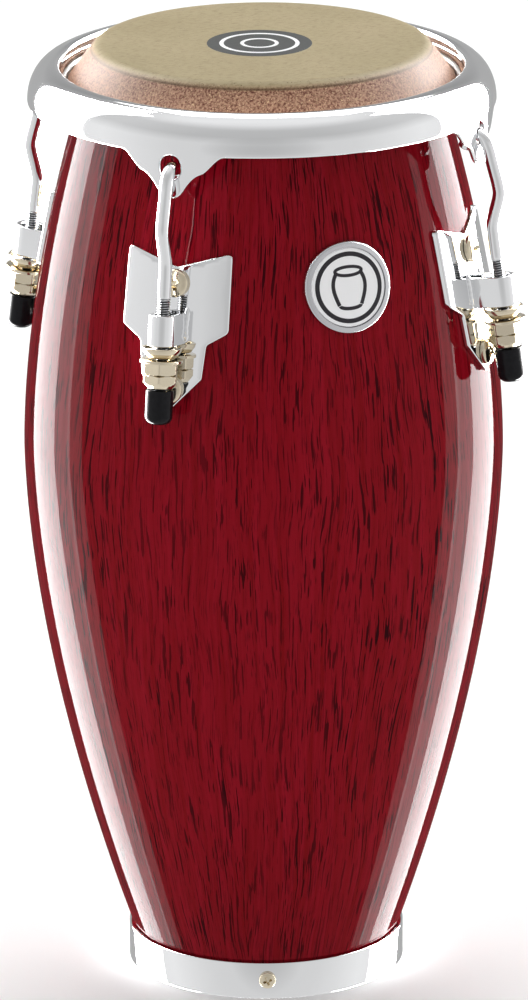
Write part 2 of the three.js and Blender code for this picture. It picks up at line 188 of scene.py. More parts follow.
def new_object(name, verts, faces, smooth_angle=None, place=None):
    """A mesh object from millimetre points. place is a matrix in millimetres."""
    points = [place @ Vector(v) for v in verts] if place else [Vector(v) for v in verts]
    mesh = bpy.data.meshes.new(name)
    mesh.from_pydata([p * MM for p in points], [], faces)
    body = bmesh.new()
    body.from_mesh(mesh)
    bmesh.ops.remove_doubles(body, verts=body.verts, dist=1e-7)
    bmesh.ops.recalc_face_normals(body, faces=body.faces)
    body.to_mesh(mesh)
    body.free()
    mesh.shade_smooth()
    if smooth_angle:
        mesh.set_sharp_from_angle(angle=math.radians(smooth_angle))
    obj = bpy.data.objects.new(name, mesh)
    bpy.context.scene.collection.objects.link(obj)
    return obj


def grid(rows, closed_across=True, closed_along=True):
    """Quads over rows of points that all have the same length."""
    n, m = len(rows), len(rows[0])
    verts = [p for row in rows for p in row]
    faces = []
    for i in range(n if closed_along else n - 1):
        for j in range(m if closed_across else m - 1):
            a, b = i, (i + 1) % n
            c, d = j, (j + 1) % m
            faces.append((a * m + c, a * m + d, b * m + d, b * m + c))
    return verts, faces


def capped(verts, faces, count):
    """Closes the first and last row of a grid, each count points long."""
    return faces + [tuple(range(count)), tuple(range(len(verts) - count, len(verts)))]


def joined(*pieces):
    verts, faces = [], []
    for v, f in pieces:
        base = len(verts)
        verts += v
        faces += [tuple(base + i for i in face) for face in f]
    return verts, faces


def spun(profile, degrees):
    """A profile of (radius, height) points stood up at this angle round Z."""
    a = math.radians(degrees)
    return [(r * math.cos(a), r * math.sin(a), z) for r, z in profile]


def lathe(profile, columns, first=0.0, span=360.0):
    """A closed profile turned round Z, in whole or in part."""
    closed = span >= 360
    count = columns if closed else columns + 1
    return grid([spun(profile, first + span * i / columns) for i in range(count)], closed_along=closed)


def axis_lathe(profile, columns):
    """As lathe, for a profile that starts and ends on the axis, lowest point first."""
    inner = profile[1:-1]
    verts, faces = grid([spun(inner, 360 * i / columns) for i in range(columns)], closed_across=False)
    m = len(inner)
    foot, crown = len(verts), len(verts) + 1
    verts += [(0, 0, profile[0][1]), (0, 0, profile[-1][1])]
    for i in range(columns):
        after = (i + 1) % columns
        faces.append((foot, i * m, after * m))
        faces.append((crown, after * m + m - 1, i * m + m - 1))
    return verts, faces


def rounded(points, radius, steps=4):
    """A closed outline with its corners rounded; a corner can hold its own radius as a third number."""
    result = []
    n = len(points)
    for i in range(n):
        here = Vector(points[i][:2])
        size = points[i][2] if len(points[i]) > 2 else radius
        before = Vector(points[i - 1][:2]) - here
        after = Vector(points[(i + 1) % n][:2]) - here
        turn = before.angle(after)
        reach = min(size / math.tan(turn / 2), 0.49 * before.length, 0.49 * after.length)
        start = here + before.normalized() * reach
        end = here + after.normalized() * reach
        for k in range(steps + 1):
            t = k / steps
            p = start * (1 - t) ** 2 + here * 2 * t * (1 - t) + end * t * t
            result.append((p.x, p.y))
    return result


def apply_modifiers(obj):
    graph = bpy.context.evaluated_depsgraph_get()
    mesh = bpy.data.meshes.new_from_object(obj.evaluated_get(graph))
    obj.modifiers.clear()
    obj.data = mesh
    return obj


def carve(obj, cutter, smooth_angle=30):
    """Cuts one object out of another and deletes the cutter."""
    cut = obj.modifiers.new("cut", "BOOLEAN")
    cut.operation = "DIFFERENCE"
    cut.solver = "EXACT"
    cut.object = cutter
    apply_modifiers(obj)
    bpy.data.objects.remove(cutter)
    obj.data.set_sharp_from_angle(angle=math.radians(smooth_angle))
    return obj


def dress(obj, body, slot, look, *nodes):
    """The piece rides on its body, stands for its CAD nodes and gets its finish."""
    obj.data.materials.clear()
    obj.data.materials.append(look)
    if body:
        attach(obj, body)
    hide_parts(*nodes)
    return obj


# ---- finishes ----
class Look:
    """A short way to write a material's nodes."""

    def __init__(self, name):
        self.material = bpy.data.materials.new(name)
        self.material.use_nodes = True
        self.tree = self.material.node_tree
        self.shader = self.tree.nodes["Principled BSDF"]

    def node(self, kind, inputs=None, **settings):
        node = self.tree.nodes.new(kind)
        for key, value in settings.items():
            setattr(node, key, value)
        for key, value in (inputs or {}).items():
            self.feed(node.inputs[key], value)
        return node

    def feed(self, socket, value):
        if isinstance(value, bpy.types.NodeSocket):
            self.tree.links.new(value, socket)
        else:
            socket.default_value = value

    def set(self, **values):
        for key, value in values.items():
            self.feed(self.shader.inputs[key.replace("_", " ")], value)

    def place(self):
        return self.node("ShaderNodeTexCoord").outputs["Object"]

    def math(self, operation, a, b=0.0, clamp=False):
        node = self.node("ShaderNodeMath", {0: a, 1: b}, operation=operation, use_clamp=clamp)
        return node.outputs[0]

    def noise(self, vector, scale, detail=4.0, roughness=0.55, distortion=0.0):
        inputs = {
            "Vector": vector,
            "Scale": scale,
            "Detail": detail,
            "Roughness": roughness,
            "Distortion": distortion,
        }
        return self.node("ShaderNodeTexNoise", inputs).outputs[0]

    def stretched(self, vector, x, y, z):
        inputs = {0: vector, 1: (x, y, z)}
        return self.node("ShaderNodeVectorMath", inputs, operation="MULTIPLY").outputs[0]

    def ramp(self, value, *stops):
        """stops are (position, grey or colour)."""
        node = self.node("ShaderNodeValToRGB", {0: value})
        band = node.color_ramp
        while len(band.elements) < len(stops):
            band.elements.new(0.5)
        for element, (position, colour) in zip(band.elements, stops):
            element.position = position
            grey = not isinstance(colour, tuple)
            element.color = (colour,) * 3 + (1,) if grey else colour + (1,)
        return node.outputs[0]

    def mix(self, share, a, b, blend="MIX"):
        node = self.node("ShaderNodeMix", data_type="RGBA", blend_type=blend)
        for key, value in ((0, share), (6, a), (7, b)):
            colour = isinstance(value, tuple) and len(value) == 3
            self.feed(node.inputs[key], value + (1,) if colour else value)
        return node.outputs[2]

    def bump(self, height, strength, distance):
        inputs = {"Height": height, "Strength": strength, "Distance": distance * MM}
        self.set(Normal=self.node("ShaderNodeBump", inputs).outputs[0])


def srgb(r, g, b):
    """A colour from 0 to 255 as Blender's linear values."""
    return tuple(
        c / 255 / 12.92 if c <= 10 else ((c / 255 + 0.055) / 1.055) ** 2.4 for c in (r, g, b)
    )


def unrolled(look):
    """The barrel laid flat: X along the girth, Y depth, Z height, in metres, each stave shifted."""
    xyz = look.node("ShaderNodeSeparateXYZ", {0: look.place()}).outputs
    angle = look.math("ARCTAN2", xyz[1], xyz[0])
    stave = look.math("FLOOR", look.math("MULTIPLY", angle, STAVES / (2 * math.pi)))
    square = look.math("ADD", look.math("POWER", xyz[0], 2.0), look.math("POWER", xyz[1], 2.0))
    depth = look.math("ADD", look.math("SQRT", square), look.math("MULTIPLY", stave, 0.37))
    girth = look.math("MULTIPLY", angle, BELLY_R * MM)
    inputs = {0: girth, 1: depth, 2: look.math("ADD", xyz[2], look.math("MULTIPLY", stave, 0.61))}
    return look.node("ShaderNodeCombineXYZ", inputs).outputs[0], stave


def wood():
    look = Look("lacquered_wood")
    flat, stave = unrolled(look)
    figure = look.noise(look.stretched(flat, 60, 60, 7), 1.0, 3, 0.5, 0.6)
    sway = look.math("MULTIPLY", look.noise(look.stretched(flat, 16, 16, 11), 1.0, 2), 0.014)
    aside = look.node("ShaderNodeCombineXYZ", {0: sway}).outputs[0]
    bent = look.node("ShaderNodeVectorMath", {0: flat, 1: aside}, operation="ADD").outputs[0]
    pores = look.noise(look.stretched(bent, 1150, 90, 78), 1.0, 2, 0.5)
    fine = look.noise(look.stretched(bent, 2600, 150, 120), 1.0, 2, 0.5)
    streak = look.noise(look.stretched(bent, 520, 60, 14), 1.0, 3, 0.6)
    dash = look.ramp(pores, (0.39, 1.0), (0.425, 0.0))
    thin = look.ramp(fine, (0.37, 1.0), (0.42, 0.0))
    density = look.ramp(figure, (0.35, 0.45), (0.62, 1.0))
    both = look.math("MAXIMUM", dash, look.math("MULTIPLY", thin, 0.6))
    marks = look.math("MULTIPLY", both, density)
    stain = look.mix(look.ramp(streak, (0.3, 0.0), (0.7, 1.0)), srgb(122, 10, 19), srgb(144, 17, 34))
    tone = look.noise(look.node("ShaderNodeCombineXYZ", {0: stave}).outputs[0], 3.1, 0)
    stain = look.mix(look.math("MULTIPLY", tone, 0.35), stain, srgb(118, 12, 18))
    colour = look.mix(look.math("MULTIPLY", marks, 0.95), stain, srgb(34, 1, 6))
    look.set(
        Base_Color=colour,
        Roughness=0.3,
        Specular_IOR_Level=0.0,
        Coat_Weight=0.11,
        Coat_Roughness=0.03,
    )
    look.shader.inputs["Coat IOR"].default_value = 1.45
    look.bump(marks, 0.12, 0.05)
    return look.material


def metal(name, colour, roughness, haze=0.04, grain=0.0):
    look = Look(name)
    place = look.place()
    smudge = look.noise(place, 90, 5, 0.6)
    speck = look.noise(place, 1800, 2, 0.5)
    level = look.math("MULTIPLY", look.ramp(smudge, (0.42, 0.0), (0.75, 1.0)), haze)
    dull = tuple(c * 0.86 for c in colour)
    look.set(
        Base_Color=look.mix(look.math("MULTIPLY", smudge, 0.25), colour, dull),
        Metallic=1.0,
        Roughness=look.math("ADD", level, roughness),
    )
    look.bump(look.math("ADD", speck, look.math("MULTIPLY", smudge, 0.5)), 0.02 + grain, 0.02)
    return look.material


def hide():
    """Beige and fibrous on top, thinner and browner down the collar, with a band of painted shade where
    the two meet.
    """
    look = Look("hide")
    place = look.place()
    xyz = look.node("ShaderNodeSeparateXYZ", {0: place}).outputs
    cloud = look.noise(place, 45, 5, 0.6)
    fibre = look.noise(look.stretched(place, 420, 1500, 900), 1.0, 4, 0.6, 0.4)
    speck = look.noise(place, 1500, 3, 0.6)
    top = look.mix(cloud, srgb(152, 138, 104), srgb(176, 162, 128))
    top = look.mix(look.ramp(fibre, (0.3, 0.55), (0.5, 0.0)), top, srgb(112, 95, 64))
    top = look.mix(look.ramp(speck, (0.3, 0.8), (0.37, 0.0)), top, srgb(96, 78, 48))
    side = look.mix(look.ramp(speck, (0.36, 0.0), (0.6, 1.0)), srgb(96, 52, 42), srgb(178, 140, 116))
    glint = look.ramp(look.noise(place, 2600, 2), (0.6, 0.0), (0.7, 0.9))
    side = look.mix(glint, side, srgb(232, 205, 160))
    crown, foot = (EDGE_Z + CREASE_TOP) * MM, (EDGE_Z + CREASE_FOOT) * MM
    drop = look.node("ShaderNodeMapRange", {0: xyz[2], 1: crown, 2: foot, 3: 0.0, 4: 1.0}).outputs[0]
    jitter = look.math("ADD", drop, look.math("MULTIPLY", look.math("SUBTRACT", cloud, 0.5), 0.25), True)
    colour = look.mix(jitter, top, side)
    # Painted shade: a dark brown band at the fold between top and collar, which lies in shadow.
    crease_shade = look.ramp(drop, (0.35, 0.0), (0.75, 0.75), (1.0, 0.0))
    colour = look.mix(crease_shade, colour, srgb(62, 42, 18))
    look.set(
        Base_Color=colour,
        Roughness=look.ramp(speck, (0.3, 0.42), (0.7, 0.6)),
        Specular_IOR_Level=0.06,
    )
    look.bump(look.math("ADD", fibre, look.math("MULTIPLY", speck, 0.6)), 0.35, 0.12)
    return look.material


def ink(name, colour, wear, roughness=0.5):
    look = Look(name)
    place = look.place()
    patch = look.noise(place, 900, 4, 0.6)
    worn = tuple(c * 2 + 0.02 for c in colour)
    look.set(
        Base_Color=look.mix(look.ramp(patch, (0.45, 0.0), (0.8, wear)), colour, worn),
        Roughness=look.math("ADD", look.math("MULTIPLY", patch, 0.2), roughness - 0.1),
        Specular_IOR_Level=0.12,
    )
    look.bump(patch, 0.1, 0.03)
    return look.material


def rubber():
    look = Look("black_rubber")
    place = look.place()
    mould = look.noise(place, 700, 4, 0.6)
    look.set(
        Base_Color=look.mix(mould, (0.004, 0.004, 0.005), (0.014, 0.014, 0.016)),
        Roughness=look.math("ADD", look.math("MULTIPLY", mould, 0.16), 0.14),
        Specular_IOR_Level=0.12,
    )
    look.bump(mould, 0.08, 0.03)
    return look.material


WOOD = wood()
CHROME = metal("chrome", (0.86, 0.865, 0.875), 0.035)
THREAD_SHADE = metal("thread_shade", (0.16, 0.16, 0.165), 0.3)
NICKEL = metal("nickel", srgb(222, 210, 186), 0.13, 0.14, 0.03)
STEEL = metal("hoop_steel", (0.42, 0.41, 0.39), 0.32, 0.2, 0.15)
BEZEL = metal("badge_rim", (0.62, 0.62, 0.64), 0.2, 0.1, 0.02)
HIDE = hide()
RUBBER = rubber()
WHITE = ink("badge_white", srgb(252, 252, 253), 0.0, 0.35)
DARK_INK = ink("dark_ink", srgb(20, 23, 21), 0.2, 0.6)
EMBLEM_INK = ink("emblem_ink", srgb(52, 50, 54), 0.2)


# ---- shell ----
STAVE_COLUMNS = 16
OUTER_ROWS = 90
INNER_ROWS = 40
WALL_TOP = EDGE_Z - 3  # where the outer wall meets the rounded bearing edge
SEAT_BEVEL = 0.4


def stave(number):
    outside = [(shell_radius(z), z) for z in spread(SEAT_TOP + SEAT_BEVEL, WALL_TOP, OUTER_ROWS)]
    crown = arc((EDGE_R, EDGE_Z), EDGE_ROUND, 0, 150, 10)
    inside = [(shell_radius(z) - WALL, z) for z in spread(WALL_TOP - 1, SEAT_TOP, INNER_ROWS)]
    foot_in = shell_radius(SEAT_TOP) - WALL
    profile = [
        (SEAT_R - 0.3, SHELL_FOOT),
        (SEAT_R, SHELL_FOOT + 0.3),
        (SEAT_R, SEAT_TOP - 0.05),
        (SEAT_R + 0.05, SEAT_TOP),
        (shell_radius(SEAT_TOP) - SEAT_BEVEL, SEAT_TOP),
        *outside,
        *crown,
        *inside,
        (foot_in, SHELL_FOOT + 0.5),
        (foot_in + 0.4, SHELL_FOOT),
    ]
    width = 360 / STAVES
    verts, faces = lathe(profile, STAVE_COLUMNS, width * (number - 1), width)
    faces = capped(verts, faces, len(profile))
    name = f"stave_{number:02d}"
    piece = new_object(f"wood_{name}", verts, faces, 35)
    smooth_round_axis(piece)
    return dress(piece, "shell", "lacquered_wood", WOOD, name)


def smooth_round_axis(obj):
    """Gives the outer wall the barrel's own normals, so that the joints between staves don't show."""
    mesh = obj.data
    normals = [Vector(corner.vector) for corner in mesh.corner_normals]
    for face in mesh.polygons:
        middle = face.center / MM
        faces_out = face.normal.xy.dot(middle.xy) >= 0.3 * middle.xy.length
        if not faces_out or middle.z > WALL_TOP:
            continue
        for corner in face.loop_indices:
            point = mesh.vertices[mesh.loops[corner].vertex_index].co / MM
            if not SEAT_TOP + 0.3 < point.z < WALL_TOP + 0.1:
                continue
            out = Vector((point.x, point.y, 0)).normalized()
            tilt = math.radians(wall_tilt(point.z))
            normals[corner] = out * math.cos(tilt) + Vector((0, 0, math.sin(tilt)))
    mesh.normals_split_custom_set(normals)


# ---- bottom ring ----
def bottom_ring():
    edge, bend = 0.35, 0.9
    inner = RING_R - RING_WALL
    lip_width, lip = RING_LIP
    profile = [
        *arc((RING_R - edge, edge), edge, -90, 0, 4),
        *arc((RING_R - edge, RING_HEIGHT - edge), edge, 0, 90, 4),
        *arc((inner + edge, RING_HEIGHT - edge), edge, 90, 180, 4),
        (inner, lip + bend),
        *arc((inner - bend, lip + bend), bend, 0, -90, 5),
        *arc((inner - lip_width + edge, lip - edge), edge, 90, 180, 4),
        *arc((inner - lip_width + edge, edge), edge, 180, 270, 4),
    ]
    verts, faces = lathe(profile, ROUND_COLUMNS)
    return dress(new_object("ring_band", verts, faces, 40), "shell", "chrome", CHROME, "bottom_ring")


PAN_SKIRT = 0.36  # the share of a pan head's height that is straight
SLOT_REACH = 0.56  # of the head's radius
SLOT_DEPTH = 0.8  # of its height


def cross_cutter(size, depth, place):
    """A cross-shaped driver's point, wide at the top and narrow at the foot."""
    slim = size * 0.26
    loops = []
    for height, scale in ((depth * 0.5, 1.0), (0, 1.0), (-depth, 0.5)):
        a, b = size * scale, slim * (0.5 + 0.5 * scale)
        arm = [(a, -b), (a, b), (b, b)]
        turns = ((1, 0), (0, 1), (-1, 0), (0, -1))
        loops.append([(x * c - y * s, x * s + y * c, height) for c, s in turns for x, y in arm])
    verts, faces = grid(loops, closed_along=False)
    return new_object("cutter", verts, capped(verts, faces, len(loops[0])), None, place)


def screw(name, size, place, node, turn=0.0):
    radius, height = size
    edge = 0.25
    skirt = height * PAN_SKIRT
    dome = [(radius * x, skirt + (height - skirt) * y) for x, y in arc((0, 0), 1, 4, 84, 10)]
    profile = [
        (0, -GAP),
        (radius - edge, -GAP),
        *arc((radius - edge, edge - GAP), edge, -80, 0, 4),
        (radius, skirt),
        *dome,
        (0, height),
    ]
    place = place @ around_z(turn)
    verts, faces = axis_lathe(profile, 48)
    head = new_object(name, verts, faces, 40, place)
    top = place @ Matrix.Translation((0, 0, height))
    carve(head, cross_cutter(radius * SLOT_REACH, height * SLOT_DEPTH, top), 35)
    return dress(head, "shell", "nickel", NICKEL, node)


# ---- head ----
SKIN_COLUMNS = 220
PLEAT_DEPTH = 0.12
PLEAT_LIFT = 0.06
PRINT_CENTRE = (-1.5, -2.0)
PRINT_R = 15.2
PRINT_STRETCH = 1.02  # how much longer than wide the print is
PRINT_LIFT = 0.04  # above the hide


def skin():
    """One hide: over the bearing edge, down the collar and round the flesh hoop."""
    middle = SKIN / 2
    line_r = EDGE_ROUND + GAP + middle
    flat = [(r, HEIGHT - middle) for r in spread(0, EDGE_R, 46)]
    edge = arc((EDGE_R, EDGE_Z), line_r, 90, COLLAR_ANGLE, 12)[1:]
    tuck_r = HOOP_WIRE_R + GAP + middle
    tuck = arc(HOOP, tuck_r, TUCK_FROM, TUCK_TO, 40)
    start, stop = Vector(edge[-1]), Vector(tuck[0])
    collar = [tuple(start.lerp(stop, t)) for t in spread(0, 1, 14)][1:-1]
    line = flat + edge + collar + tuck
    over, under = offset_line(line, middle), offset_line(line, -middle)
    section = [(0, HEIGHT - SKIN), *under[1:], *reversed(over[1:]), (0, HEIGHT)]
    verts, faces = axis_lathe(section, SKIN_COLUMNS)
    roughen_tuck(verts)
    piece = new_object("hide", verts, faces)
    dress(piece, None, "hide", HIDE, "skin_batter", "skin_collar", "skin_tuck")
    start, stop = (EDGE_Z + CREASE_FOOT) * MM, (HOOP[1] + TUCK_REACH) * MM
    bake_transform(piece)
    return piece


def offset_line(line, distance):
    result = []
    for i, point in enumerate(line):
        a, b = line[max(i - 1, 0)], line[min(i + 1, len(line) - 1)]
        along = Vector((b[0] - a[0], b[1] - a[1])).normalized()
        result.append((point[0] - along.y * distance, point[1] + along.x * distance))
    return result


def roughen_tuck(verts):
    """The hide bunches into small pleats where it goes round the hoop."""
    for i, (x, y, z) in enumerate(verts):
        r = math.hypot(x, y)
        share = max(0.0, min(1.0, (HOOP[1] + 1 - z) / 2)) if r > HOOP[0] - 4 else 0.0
        if share == 0.0 and r < HOOP[0] - 1:
            continue
        angle = math.atan2(y, x)
        coarse = math.sin(angle * 61 + 0.6 * math.sin(angle * 7))
        wave = coarse * 0.6 + math.sin(angle * 143) * 0.4
        scale = 1 + PLEAT_DEPTH * wave / r
        verts[i] = (x * scale, y * scale, z + PLEAT_LIFT * math.sin(angle * 97))


def head_print():
    """A dark disc with two light rings, printed on the playing surface."""
    left, front = PRINT_CENTRE
    lift = HEIGHT + PRINT_LIFT
    edge, fall = 0.05, 0.06

    def band(name, outer, inner, height, look):
        section = ((outer, fall), (outer - edge, 0), (inner + edge, 0), (inner, fall))
        rows = [
            [
                (left + r * math.cos(a), front + PRINT_STRETCH * r * math.sin(a), height - d)
                for r, d in section
            ]
            for a in (2 * math.pi * i / 160 for i in range(160))
        ]
        verts, faces = grid(rows)
        return dress(new_object(name, verts, faces, 30), "shell", "hide", look)

    band("print_disc", PRINT_R, edge, lift, DARK_INK)
    band("print_ring", 11.6, 10.3, lift + 0.03, WHITE)
    band("print_middle", 5.6, 4.4, lift + 0.03, WHITE)


def flesh_hoop():
    wire = arc(HOOP, HOOP_WIRE_R, 0, 330, 11)
    verts, faces = lathe(wire, 200)
    return dress(new_object("hoop_wire", verts, faces), "rim", "hoop_steel", STEEL, "flesh_hoop")


# ---- rim ----
EAR_STEPS = 44  # columns across an ear
BETWEEN_STEPS = 36
WALL_ROWS = 24  # rows down an ear's wall
LIP = RIM_SHEET / 2
EAR_SHOULDER = (9.0, 5.3)  # half-width and drop where the ear's concave side begins
EAR_FOOT_HALF = 3.9
EAR_ROUND = 2.4


def ear_drop(y):
    """How far the rim's lower edge comes down at this distance from an ear's middle."""
    full = RIM_BOTTOM - EAR_TIP
    y = abs(y)
    if y >= EAR_HALF:
        return 0.0
    shoulder, shoulder_drop = EAR_SHOULDER
    if y > shoulder:
        t = (EAR_HALF - y) / (EAR_HALF - shoulder)
        return shoulder_drop * (t * t * (3 - 2 * t)) * (0.72 + 0.28 * t)
    if y > EAR_FOOT_HALF:
        t = (shoulder - y) / (shoulder - EAR_FOOT_HALF)
        return shoulder_drop + (full - EAR_ROUND - shoulder_drop) * (0.35 * t + 0.65 * t * t)
    t = y / EAR_FOOT_HALF
    return full - EAR_ROUND * t ** 2.4


def rim_profile(drop):
    """A loop round the sheet's section, from the inner bead over the top to the lower edge."""
    bead_r, bead_z, bead = RIM_BEAD
    across, height = RIM_R - bead_r, bead_z + bead - RIM_BOTTOM
    quarter = arc((0, 0), 1, 90, 0, 20)
    outer = [(bead_r + across * x, RIM_BOTTOM + height * y) for x, y in quarter]
    wall = [(RIM_R, RIM_BOTTOM - drop * t) for t in spread(0, 1, WALL_ROWS)][1:]
    lip = arc((RIM_R - LIP, RIM_BOTTOM - drop), LIP, 0, -180, 10)[1:]
    inside = [(RIM_R - RIM_SHEET, RIM_BOTTOM - drop * t) for t in spread(1, 0, WALL_ROWS)][1:]
    inward = arc((0, 0), 1, 0, 72, 16)[1:]
    slim, low_rise = across - RIM_SHEET, height - RIM_SHEET
    under = [(bead_r + slim * x, RIM_BOTTOM + low_rise * y) for x, y in inward]
    roll = arc((bead_r, bead_z), bead, -20, -262, 22)
    return outer + wall + lip + inside + under + roll


def rim():
    half_ear = math.degrees(math.asin((EAR_HALF + 0.5) / RIM_R))
    rows = []
    for corner in LUGS.values():
        for angle in spread(-half_ear, half_ear, EAR_STEPS):
            y = RIM_R * math.sin(math.radians(angle))
            rows.append((corner + angle, ear_drop(y)))
        for angle in spread(half_ear, 90 - half_ear, BETWEEN_STEPS)[1:-1]:
            rows.append((corner + angle, 0.0))
    verts, faces = grid([spun(rim_profile(drop), angle) for angle, drop in rows])
    piece = new_object("rim_pressed", verts, faces)
    for corner in LUGS:
        carve(piece, hole_cutter(LUGS[corner]), 32)
    return dress(piece, "rim", "chrome", CHROME, "rim")


def hole_cutter(angle):
    """A slot with round ends that flares where it meets the sheet's two faces."""
    half, top, bottom = EAR_HOLE
    flare, past = 0.35, 0.6
    inside = RIM_R - RIM_SHEET
    loops = []
    steps = [(inside - past, 2 * flare), (inside, flare), (inside + 0.12, 0.15), (inside + flare, 0)]
    steps += [(RIM_R - flare, 0), (RIM_R - 0.12, 0.15), (RIM_R, flare), (RIM_R + past, 2 * flare)]
    for r, extra in steps:
        size = half + extra - 0.02
        loop = arc((0, top - half), size, 0, 180, 16) + arc((0, bottom + half), size, 180, 360, 16)
        loops.append([(math.sqrt(max(r * r - y * y, 1)), y, z) for y, z in loop])
    verts, faces = grid(loops, closed_along=False)
    return new_object("cutter", verts, capped(verts, faces, len(loops[0])), None, around_z(angle))


# ---- side plates ----
def filled(outline, step):
    """Triangles that fill an outline, with points inside it every step."""
    ys, zs = [p[0] for p in outline], [p[1] for p in outline]
    n = len(outline)
    inner = []
    rows = int((max(zs) - min(zs)) / step)
    for k in range(1, rows):
        z = min(zs) + (max(zs) - min(zs)) * k / rows
        cuts = sorted(
            outline[i][0] + (outline[(i + 1) % n][0] - outline[i][0])
            * (z - outline[i][1]) / (outline[(i + 1) % n][1] - outline[i][1])
            for i in range(n)
            if (outline[i][1] > z) != (outline[(i + 1) % n][1] > z)
        )
        for a, b in zip(cuts[::2], cuts[1::2]):
            columns = max(int((b - a) / step), 1)
            inner += [(a + (b - a) * c / columns, z) for c in range(1, columns)]
    points = [Vector(p) for p in list(outline) + inner]
    edges = [(i, (i + 1) % n) for i in range(n)]
    found = delaunay_2d_cdt(points, edges, [], 1, 1e-6)
    return [tuple(p) for p in found[0]], [tuple(f) for f in found[2]]


def inset(outline, distance):
    n = len(outline)
    result = []
    for i in range(n):
        a, b, c = (Vector(outline[(i + k) % n]) for k in (-1, 0, 1))
        one, two = (b - a).normalized(), (c - b).normalized()
        normal = Vector((-one.y - two.y, one.x + two.x)).normalized()
        spread_out = max(0.35, normal.dot(Vector((-one.y, one.x))))
        result.append(tuple(b + normal * distance / spread_out))
    return result


def sheet_on_wall(outline, base, thickness, edge, step, steps=4):
    """A plate that follows the shell, with its outer edge rounded. The outline runs anticlockwise."""

    def on_wall(point, offset):
        y, z = point
        r = shell_radius(z) + offset
        return (math.sqrt(r * r - y * y), y, z)

    verts, faces = [], []
    loops = [(outline, base)]
    for a in spread(0, 90, steps):
        shift = edge * (1 - math.cos(math.radians(a)))
        height = base + thickness - edge * (1 - math.sin(math.radians(a)))
        loops.append((inset(outline, shift), height))
    n = len(outline)
    for loop, height in loops:
        verts += [on_wall(p, height) for p in loop]
    for k in range(len(loops) - 1):
        for i in range(n):
            j = (i + 1) % n
            faces.append((k * n + i, k * n + j, (k + 1) * n + j, (k + 1) * n + i))
    for height, loop, flip in ((base + thickness, loops[-1][0], False), (base, outline, True)):
        points, triangles = filled(loop, step)
        start = len(verts)
        verts += [on_wall(p, height) for p in points]
        faces += [tuple(start + i for i in (reversed(t) if flip else t)) for t in triangles]
    return verts, faces


def plate_outline():
    half = PLATE_HALF
    corners = [half[5], half[4], half[3], half[2], half[1], half[0]]
    radii = [1.0, 1.2, 1.6, 2.0, 1.6, 3.0]
    right = [(*p, r) for p, r in zip(corners, radii)]
    left = [(-p[0], p[1], r) for p, r in zip(corners[1:5], radii[1:5])]
    return rounded(right + left[::-1], 1.5, 6)


def side_plate(corner):
    verts, faces = sheet_on_wall(plate_outline(), GAP, PLATE_SHEET, 0.45, 1.2)
    piece = new_object(f"plate_{corner}", verts, faces, 50, around_z(LUGS[corner]))
    return dress(piece, "shell", "chrome", CHROME, f"side_plate_{corner}")


# ---- brackets ----
BRACKET_EDGE = 0.4
BRACKET_SINK = 0.4  # how far its ends run into the plate
ARM_STEPS = 10
NOSE_STEPS = 28
WELD_STEPS = 60
WELD_SIDES = 12
WELD_R = 0.85


def plate_face(corner_y, z):
    r = shell_radius(z) + GAP + PLATE_SHEET
    return math.sqrt(max(r * r - corner_y * corner_y, 1))


def bracket(corner):
    """A strap bent round the rod; its ends run in to the plate, where a weld closes them."""
    radius, wall, half, shift = BRACKET
    lean = math.radians(ROD_LEAN)
    section = rounded([(0, -half), (wall, -half), (wall, half), (0, half)], BRACKET_EDGE, 4)

    def arm(share, side):
        row = []
        for depth, height in section:
            y = side * (radius - wall + depth)
            z = LUG_Z + height * math.cos(lean)
            face = plate_face(y, z) - BRACKET_SINK - LUG_R
            back = (face + height * math.sin(lean)) / math.cos(lean)
            row.append((shift + (back - shift) * share, y, height))
        return row

    def nose(angle):
        outward, across = math.cos(math.radians(angle)), math.sin(math.radians(angle))
        reach = [(radius - wall + depth, height) for depth, height in section]
        return [(shift + r * outward, r * across, height) for r, height in reach]

    rows = [arm(t, -1) for t in spread(1, 0, ARM_STEPS)[:-1]]
    rows += [nose(a) for a in spread(-90, 90, NOSE_STEPS)]
    rows += [arm(t, 1) for t in spread(0, 1, ARM_STEPS)[1:]]
    verts, faces = grid(rows, closed_along=False)
    faces = capped(verts, faces, len(section))
    strap = new_object(f"strap_{corner}", verts, faces, 40, rod_frame(corner))
    dress(strap, "shell", "chrome", CHROME, f"bracket_{corner}")
    for side in (-1, 1):
        weld(corner, side)
    return strap


def weld(corner, side):
    """A rippled bead where the strap's end meets the plate."""
    radius, _, half, _ = BRACKET
    past = 0.3
    rows = []
    for t in spread(0, 1, WELD_STEPS):
        z = LUG_Z - half - past + 2 * (half + past) * t
        taper = min(1, 6 * t + 0.35, 6 * (1 - t) + 0.35)
        thick = WELD_R * taper * (1 + 0.07 * math.sin(t * 38 + 2 * side))
        y = side * (radius + 0.15 + 0.12 * math.sin(t * 9 + side))
        x = plate_face(y, z) + 0.1
        angles = (2 * math.pi * k / WELD_SIDES for k in range(WELD_SIDES))
        rows.append([(x + thick * 0.8 * math.cos(a), y + thick * math.sin(a), z) for a in angles])
    verts, faces = grid(rows, closed_along=False)
    faces = capped(verts, faces, WELD_SIDES)
    name = f"weld_{corner}_{'right' if side > 0 else 'left'}"
    bead = new_object(name, verts, faces, None, around_z(LUGS[corner]))
    return dress(bead, "shell", "chrome", CHROME)


# ---- rods ----
HOOK = [
    (71.75, 232),
    (72.5, 236),
    (73.4, 239.5),
    (73.75, 242),
    (73.2, 245),
    (72.35, 248),
    (71.5, 251),
    (70.5, 254.6),
    (69.2, 257.2),
    (67, 258.6),
    (64.6, 257.7),
    (63, 254.6),
]
KNEE_Z = 229
ROD_SIDES = 32
THREAD_DEPTH = 0.5
THREAD_ROWS = 9  # rows for each turn of the thread
THREAD_RUN_OUT = 1.2
HOOK_STEP = 0.6


